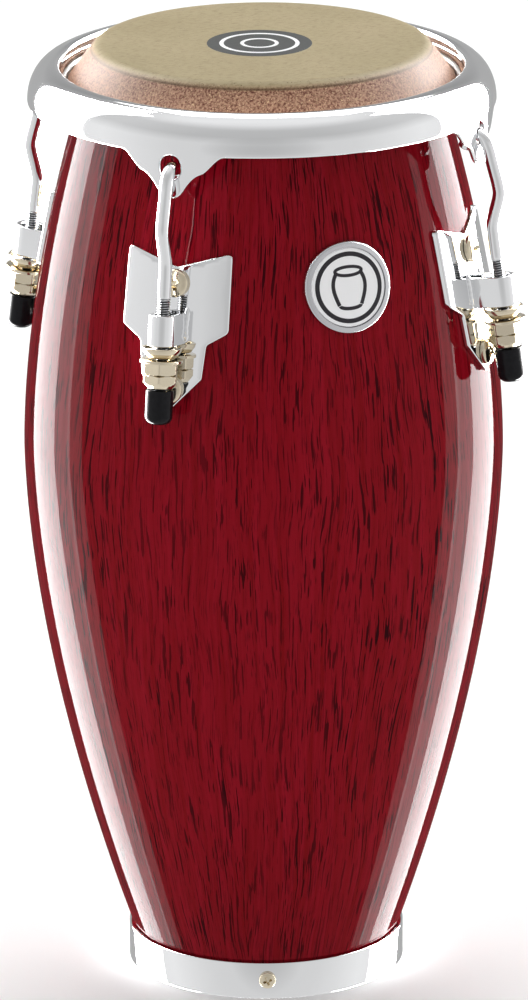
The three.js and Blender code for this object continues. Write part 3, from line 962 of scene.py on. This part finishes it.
def smooth_line(points, step):
    """A centripetal Catmull-Rom curve through the points, sampled about every step."""
    ends = [points[0] * 2 - points[1]] + points + [points[-1] * 2 - points[-2]]
    result = []
    for a, b, c, d in zip(ends, ends[1:], ends[2:], ends[3:]):
        t1 = math.sqrt((b - a).length)
        t2 = t1 + math.sqrt((c - b).length)
        t3 = t2 + math.sqrt((d - c).length)
        count = max(2, round((c - b).length / step))
        for k in range(count):
            t = t1 + (t2 - t1) * k / count
            a1 = a * ((t1 - t) / t1) + b * (t / t1)
            a2 = b * ((t2 - t) / (t2 - t1)) + c * ((t - t1) / (t2 - t1))
            a3 = c * ((t3 - t) / (t3 - t2)) + d * ((t - t2) / (t3 - t2))
            b1 = a1 * ((t2 - t) / t2) + a2 * (t / t2)
            b2 = a2 * ((t3 - t) / (t3 - t1)) + a3 * ((t - t1) / (t3 - t1))
            result.append(b1 * ((t2 - t) / (t2 - t1)) + b2 * ((t - t1) / (t2 - t1)))
    return result + [points[-1]]


def hook_rod(corner):
    lean = math.radians(ROD_LEAN)
    foot = LUG_Z + ROD_FOOT * math.cos(lean)
    on_axis = [Vector((LUG_R - (z - LUG_Z) * math.tan(lean), 0, z)) for z in (foot, KNEE_Z)]
    thread_share = (THREAD_TOP - ROD_FOOT) * math.cos(lean) / (KNEE_Z - foot)
    thread_end = on_axis[0].lerp(on_axis[1], thread_share)
    length = THREAD_TOP - ROD_FOOT
    threaded = [on_axis[0].lerp(thread_end, t) for t in spread(0, 1, round(length / PITCH * THREAD_ROWS))]
    plain = [thread_end.lerp(on_axis[1], t) for t in spread(0, 1, 8)][1:-1]
    bend = smooth_line([on_axis[1]] + [Vector((r, 0, z)) for r, z in HOOK], HOOK_STEP)
    line = threaded + plain + bend
    rows = []
    for i, point in enumerate(line):
        along = (line[min(i + 1, len(line) - 1)] - line[max(i - 1, 0)]).normalized()
        across = Vector((along.z, 0, -along.x))
        travelled = i * length / (len(threaded) - 1)
        row = []
        for k in range(ROD_SIDES):
            turn = k / ROD_SIDES
            radius = ROD_R
            if i < len(threaded):
                wave = abs(((travelled / PITCH - turn) % 1.0) * 2 - 1)
                fade = min(1.0, (length - travelled) / THREAD_RUN_OUT)
                radius -= THREAD_DEPTH * min(max(1.3 * wave - 0.1, 0.0), 1.0) * fade
            a = 2 * math.pi * turn
            aside = Vector((0, radius * math.sin(a), 0))
            row.append(tuple(point + across * radius * math.cos(a) + aside))
        rows.append(row)
    ends = []
    for row, point, sign in ((rows[0], line[0], -1), (rows[-1], line[-1], 1)):
        along = (line[1] - line[0] if sign < 0 else line[-1] - line[-2]).normalized() * sign
        ends.append([tuple(point + (Vector(p) - point) * 0.82 + along * 0.3) for p in row])
    rows = [ends[0]] + rows + [ends[1]]
    verts, faces = grid(rows, closed_along=False)
    faces = capped(verts, faces, ROD_SIDES)
    piece = new_object(f"rod_{corner}", verts, faces, 45, around_z(LUGS[corner]))
    dress(piece, f"rod_{corner}", "chrome", CHROME, f"hook_rod_{corner}")
    shade_threads(piece, corner)
    return piece


def shade_threads(rod, corner):
    """The bottoms of the threads reflect each other and look dark."""
    rod.data.materials.append(THREAD_SHADE)
    to_rod = rod_frame(corner).inverted()
    for face in rod.data.polygons:
        middle = to_rod @ (face.center / MM)
        if middle.z < THREAD_TOP and middle.xy.length < ROD_R - THREAD_SHADE_DEPTH:
            face.material_index = 1


def cup_washer(corner):
    foot = CUP_TOP - CUP_HEIGHT
    bore, hub, rim_r, sheet, edge = 2.45, 4.1, CUP_RIM_R, 0.9, 0.3
    profile = [
        (bore, foot + 0.1),
        (bore + 0.1, foot),
        (hub - 0.4, foot),
        *arc((hub - 0.4, foot + 0.9), 0.9, -75, -35, 4),
        (rim_r - 0.25, CUP_TOP - 1.2),
        *arc((rim_r - edge, CUP_TOP - edge), edge, 0, 90, 5),
        *arc((rim_r - sheet + edge, CUP_TOP - edge), edge, 90, 180, 4),
        (hub - 0.1, foot + sheet + 0.25),
        (hub - 0.7, foot + sheet),
        (bore, foot + sheet),
    ]
    verts, faces = lathe(profile, 64)
    piece = new_object(f"washer_{corner}", verts, faces, 45, rod_frame(corner))
    return dress(piece, "shell", "nickel", NICKEL, f"cup_washer_{corner}")


NUT_COLUMNS = 144
NUT_BORE = 2.12
NUT_TURN = 12  # degrees that the nuts stand turned from the lug


def hexagon_radius(angle, flats):
    """Distance to a hexagon's side, with its corners slightly rounded."""
    a = (angle + 30) % 60 - 30
    side = flats / 2 / math.cos(math.radians(a))
    return min(side, flats / math.sqrt(3) - 0.12)


def nut_rows(levels, flats, bore, turn):
    """levels are (height, greatest radius); the hexagon is cut by each level's circle."""
    rows = []
    for i in range(NUT_COLUMNS):
        angle = 360 * i / NUT_COLUMNS
        hexagon = hexagon_radius(angle + turn, flats)
        a = math.radians(angle)
        outside = [(min(hexagon, limit), z) for z, limit in levels]
        first, last = levels[0][0], levels[-1][0]
        inside = [(bore + 0.25, last), (bore, last - 0.25), (bore, first + 0.25), (bore + 0.25, first)]
        rows.append([(r * math.cos(a), r * math.sin(a), z) for r, z in outside + inside])
    return grid(rows)


def tuning_nut(corner):
    foot = FLANGE_TOP - FLANGE_THICKNESS
    bottom = FLANGE_TOP - NUT_HEIGHT
    out = NUT_FLATS / math.sqrt(3)
    slim, rise = NUT_FLATS / 2 - 0.05, 0.5
    levels = [(bottom, slim)]
    levels += [(bottom + rise * t, slim + (out - slim) * t ** 0.7) for t in (0.3, 0.6, 1.0)]
    levels += [(z, out) for z in spread(bottom + rise + 0.05, foot, 3)]
    body = nut_rows(levels, NUT_FLATS, NUT_BORE, NUT_TURN)
    edge = 0.22
    flange = lathe(
        [
            (2.15, foot - 0.05),
            (3.4, foot - 0.05),
            *arc((FLANGE_R - edge, foot + edge), edge, -90, 0, 4),
            *arc((FLANGE_R - 0.1 - edge, FLANGE_TOP - edge), edge, 0, 90, 4),
            (2.3, FLANGE_TOP),
            (2.15, FLANGE_TOP - 0.15),
        ],
        72,
    )
    verts, faces = joined(body, flange)
    piece = new_object(f"nut_{corner}", verts, faces, 22, rod_frame(corner))
    return dress(piece, f"nuts_{corner}", "nickel", NICKEL, f"tuning_nut_{corner}")


def lock_nut(corner):
    top = FLANGE_TOP - NUT_HEIGHT - GAP / 3
    foot = top - LOCK_NUT_HEIGHT - GAP / 3
    out = NUT_FLATS / math.sqrt(3)
    slim, rise = LOCK_NUT_FOOT
    levels = [(foot, slim)]
    levels += [(foot + rise * t, slim + (out - slim) * t) for t in (0.15, 0.35, 0.6, 0.8, 1.0)]
    levels += [(z, out) for z in spread(foot + rise + 0.1, top - 0.4, 3)]
    levels += [(top - 0.2, out - 0.1), (top, NUT_FLATS / 2 - 0.05)]
    verts, faces = nut_rows(levels, NUT_FLATS, NUT_BORE, NUT_TURN)
    piece = new_object(f"locknut_{corner}", verts, faces, 22, rod_frame(corner))
    return dress(piece, f"nuts_{corner}", "nickel", NICKEL, f"lock_nut_{corner}")


def end_cap(corner):
    foot = CAP_TOP - CAP_LENGTH
    round_r = 2.4
    edge = 0.35
    bore = ROD_R + 0.15
    profile = [
        (0, foot),
        (0.6, foot + 0.02),
        *arc((CAP_R - round_r, foot + round_r), round_r, -88, 0, 14),
        (CAP_R, CAP_TOP - 1.5),
        *arc((CAP_R - edge, CAP_TOP - edge), edge, 0, 90, 5),
        (bore + 0.2, CAP_TOP),
        (bore, CAP_TOP - 0.2),
        (bore, foot + 1.5),
        (0, foot + 1.45),
    ]
    verts, faces = axis_lathe(profile, 56)
    piece = new_object(f"cap_{corner}", verts, faces, 50, rod_frame(corner))
    return dress(piece, f"rod_{corner}", "black_rubber", RUBBER, f"end_cap_{corner}")


# ---- badge ----
def disc_outline(radius, steps=96):
    """A circle on the wall at the badge's height, seen square on."""
    tilt = math.cos(math.radians(wall_tilt(BADGE_Z)))
    return [(y, BADGE_Z + z * tilt) for y, z in arc((0, 0), radius, 0, 360, steps)[:-1]]


def badge():
    place = around_z(-90)
    dish = sheet_on_wall(disc_outline(BADGE_R), GAP, BADGE_HEIGHT, 0.6, 1.0)
    rim_piece = new_object("badge_dish", *dish, 40, place)
    inner = BADGE_R - BADGE_BEZEL
    pocket = sheet_on_wall(disc_outline(inner), GAP + BADGE_FLOOR, 3.0, 0.05, 1.5, 1)
    carve(rim_piece, new_object("cutter", *pocket, None, place), 40)
    dress(rim_piece, "shell", "badge_rim", BEZEL, "badge_bezel")

    base = GAP + BADGE_FLOOR + 0.1
    plaque = sheet_on_wall(disc_outline(inner - GAP / 2), base, BADGE_FACE, 0.2, 0.9)
    face = new_object("badge_plaque", *plaque, 40, place)
    dress(face, "shell", "badge_white", WHITE, "badge_face")
    emblem(place, base + BADGE_FACE)


def ribbon(name, line, width, base, place, closed=False):
    """A printed stroke along a line of (sideways, up) points on the badge."""
    left, right = [], []
    n = len(line)
    for i, point in enumerate(line):
        a = Vector(line[i - 1] if closed else line[max(i - 1, 0)])
        b = Vector(line[(i + 1) % n] if closed else line[min(i + 1, n - 1)])
        along = (b - a).normalized()
        normal = Vector((-along.y, along.x)) * width / 2
        left.append(Vector(point) + normal)
        right.append(Vector(point) - normal)
    tilt = math.cos(math.radians(wall_tilt(BADGE_Z)))
    rows = []
    for l, r in zip(left, right):
        row = []
        for p, height in ((l, -0.05), (l, 0.05), (r, 0.05), (r, -0.05)):
            z = BADGE_Z + p.y * tilt
            radius = shell_radius(z) + base + height
            row.append((math.sqrt(radius * radius - p.x * p.x), p.x, z))
        rows.append(row)
    verts, faces = grid(rows, closed_along=closed)
    if not closed:
        faces = capped(verts, faces, 4)
    return dress(new_object(name, verts, faces, 30, place), "shell", "badge_white", EMBLEM_INK)


def oval(half_width, half_height, middle, start, stop, steps):
    """Points round a flat oval on the badge, its middle this far up."""
    circle = arc((0, 0), 1, start, stop, steps)
    return [(half_width * x, middle + half_height * y) for x, y in circle]


def emblem(place, base):
    """A plain drum's outline inside a ring."""
    ribbon("emblem_ring", arc((0, 0), 9.6, 0, 360, 96)[:-1], 1.3, base, place, True)
    left = [(-3.4 - 1.5 * math.sin(math.pi * t ** 0.8), 4.6 - 9.6 * t) for t in spread(0, 1, 24)]
    ribbon("emblem_left", left, 1.1, base, place)
    ribbon("emblem_right", [(-x, z) for x, z in left], 1.1, base, place)
    ribbon("emblem_head", oval(4.1, 1.25, 4.7, 0, 360, 48)[:-1], 0.9, base, place, True)
    ribbon("emblem_foot", oval(3.2, 0.9, -5.1, 180, 360, 24), 1.0, base, place)


# ---- studio ----
VIEW_TURN = -22.4  # degrees round the drum from straight in front
VIEW_DISTANCE = 2390
VIEW_HEIGHT = 885
VIEW_AIM = 141
VIEW_LENS = 306.5
VIEW_ROLL = -0.3


def camera():
    data = bpy.data.cameras.new("camera")
    data.lens = VIEW_LENS
    data.sensor_width = 36
    data.dof.use_dof = False
    data.clip_end = 50
    eye = bpy.data.objects.new("camera", data)
    bpy.context.scene.collection.objects.link(eye)
    turn = math.radians(VIEW_TURN)
    place = Vector((math.sin(turn) * VIEW_DISTANCE, -math.cos(turn) * VIEW_DISTANCE, VIEW_HEIGHT))
    aim = Vector((0, 0, VIEW_AIM))
    facing = (aim - place).to_track_quat("-Z", "Y").to_matrix().to_4x4()
    eye.matrix_world = Matrix.Translation(place * MM) @ facing @ around_z(VIEW_ROLL)
    bpy.context.scene.camera = eye


def softbox(name, turn, distance, height, size, radiance, lights=True):
    """A panel that faces the drum; turn is counted from the camera's side. Some are only seen in gloss."""
    data = bpy.data.lights.new(name, "AREA")
    data.shape = "RECTANGLE"
    data.size, data.size_y = size[0] * MM, size[1] * MM
    data.energy = radiance * math.pi * data.size * data.size_y
    lamp = bpy.data.objects.new(name, data)
    bpy.context.scene.collection.objects.link(lamp)
    angle = math.radians(VIEW_TURN + turn)
    place = Vector((math.sin(angle) * distance, -math.cos(angle) * distance, height))
    aim = Vector((0, 0, min(height, HEIGHT)))
    lamp.location = place * MM
    lamp.rotation_euler = (aim - place).to_track_quat("-Z", "Y").to_euler()
    lamp.visible_diffuse = lights
    return lamp


# The tall panels that draw the white strips down the lacquer: turn, width and radiance, brightest first.
STRIPS = ((130.5, 720, 44), (111, 360, 13), (101, 320, 5))
TOP_BOX = (175, 1100, 1900, (1200, 1200), 4.0)  # turn, distance, height, size and radiance
STRIP_DISTANCE = 1600
STRIP_LENGTH = 6000


def surroundings():
    """A pale room: dimmer behind the drum and at mid height."""
    world = bpy.data.worlds.new("studio")
    bpy.context.scene.world = world
    world.use_nodes = True
    tree = world.node_tree

    def node(kind, **settings):
        made = tree.nodes.new(kind)
        for key, value in settings.items():
            setattr(made, key, value)
        return made

    def brightness(value, stops):
        """A value from -1 to 1, moved to 0 to 1 and sent through a ramp."""
        share = node("ShaderNodeMath", operation="MULTIPLY_ADD")
        share.inputs[1].default_value = 0.5
        share.inputs[2].default_value = 0.5
        tree.links.new(value, share.inputs[0])
        ramp = node("ShaderNodeValToRGB")
        tree.links.new(share.outputs[0], ramp.inputs[0])
        band = ramp.color_ramp
        while len(band.elements) < len(stops):
            band.elements.new(0.5)
        for element, (position, grey) in zip(band.elements, stops):
            element.position = position
            element.color = (grey, grey, grey, 1)
        return ramp.outputs[0]

    turn = math.radians(VIEW_TURN)
    coord = node("ShaderNodeTexCoord").outputs["Generated"]
    facing = node("ShaderNodeVectorMath", operation="DOT_PRODUCT")
    facing.inputs[1].default_value = (math.sin(turn), -math.cos(turn), 0)
    tree.links.new(coord, facing.inputs[0])
    split = node("ShaderNodeSeparateXYZ")
    tree.links.new(coord, split.inputs[0])
    both = node("ShaderNodeMix", data_type="RGBA", blend_type="MULTIPLY")
    both.inputs[0].default_value = 1.0
    tree.links.new(brightness(facing.outputs["Value"], ROOM_BY_TURN), both.inputs[6])
    tree.links.new(brightness(split.outputs[2], ROOM_BY_HEIGHT), both.inputs[7])
    tree.links.new(both.outputs[2], tree.nodes["Background"].inputs[0])


# The room's brightness: by how far a direction turns from straight behind (0) to the camera's side (1),
# and by how far it rises from straight down (0) to straight up (1).
ROOM_BY_TURN = (
    (0.0, 0.44),
    (0.08, 0.46),
    (0.28, 0.9),
    (0.55, 0.95),
    (0.85, 0.76),
    (0.93, 0.74),
    (1.0, 0.55),
)
ROOM_BY_HEIGHT = ((0.0, 0.95), (0.3, 1.0), (0.6, 1.0), (0.74, 0.74), (0.88, 0.74), (0.97, 1.0))


FLOOR_HALF = 6000


def floor():
    size = FLOOR_HALF
    verts = [(-size, -size, 0), (size, -size, 0), (size, size, 0), (-size, size, 0)]
    ground = new_object("floor", verts, [(0, 1, 2, 3)])
    look = Look("floor_white")
    dust = look.noise(look.place(), 3, 2)
    colour = look.mix(dust, (0.93, 0.93, 0.93), (0.95, 0.95, 0.95))
    look.set(Base_Color=colour, Roughness=0.7, Specular_IOR_Level=0.2)
    ground.data.materials.append(look.material)
    ground.visible_glossy = False


camera()
floor()
surroundings()
for side in (-1, 1):
    for step, (turn, width, radiance) in enumerate(STRIPS):
        name = f"strip_{'left' if side < 0 else 'right'}_{step + 1}"
        softbox(name, side * turn, STRIP_DISTANCE, 0, (width, STRIP_LENGTH), radiance, False)
softbox("top_box", *TOP_BOX)

for number in range(1, STAVES + 1):
    stave(number)
bottom_ring()
for number in range(3):
    angle = RING_SCREW_FIRST + 120 * number
    place = wall_frame(angle, RING_R + GAP, RING_SCREW_Z, 0)
    turn = 20 + 47 * number
    screw(f"band_screw_{number + 1}", RING_SCREW, place, f"ring_screw_{number + 1}", turn)

skin()
head_print()
flesh_hoop()
rim()
on_plate = Matrix.Translation((0, 0, PLATE_SHEET + 2 * GAP))
for order, (corner, angle) in enumerate(LUGS.items()):
    side_plate(corner)
    bracket(corner)
    hook_rod(corner)
    cup_washer(corner)
    tuning_nut(corner)
    lock_nut(corner)
    end_cap(corner)
    for step, (level, z) in enumerate(LUG_SCREW_HEIGHTS.items()):
        place = wall_frame(angle, shell_radius(z), z, wall_tilt(z)) @ on_plate
        turn = 25 + 61 * order + 38 * step
        screw(f"{level}_pan_{corner}", LUG_SCREW, place, f"{level}_screw_{corner}", turn)
badge()

bpy.context.scene.view_settings.view_transform = "Standard"


def corners(box):
    return [[round(float(x), 6) for x in corner] for corner in box]
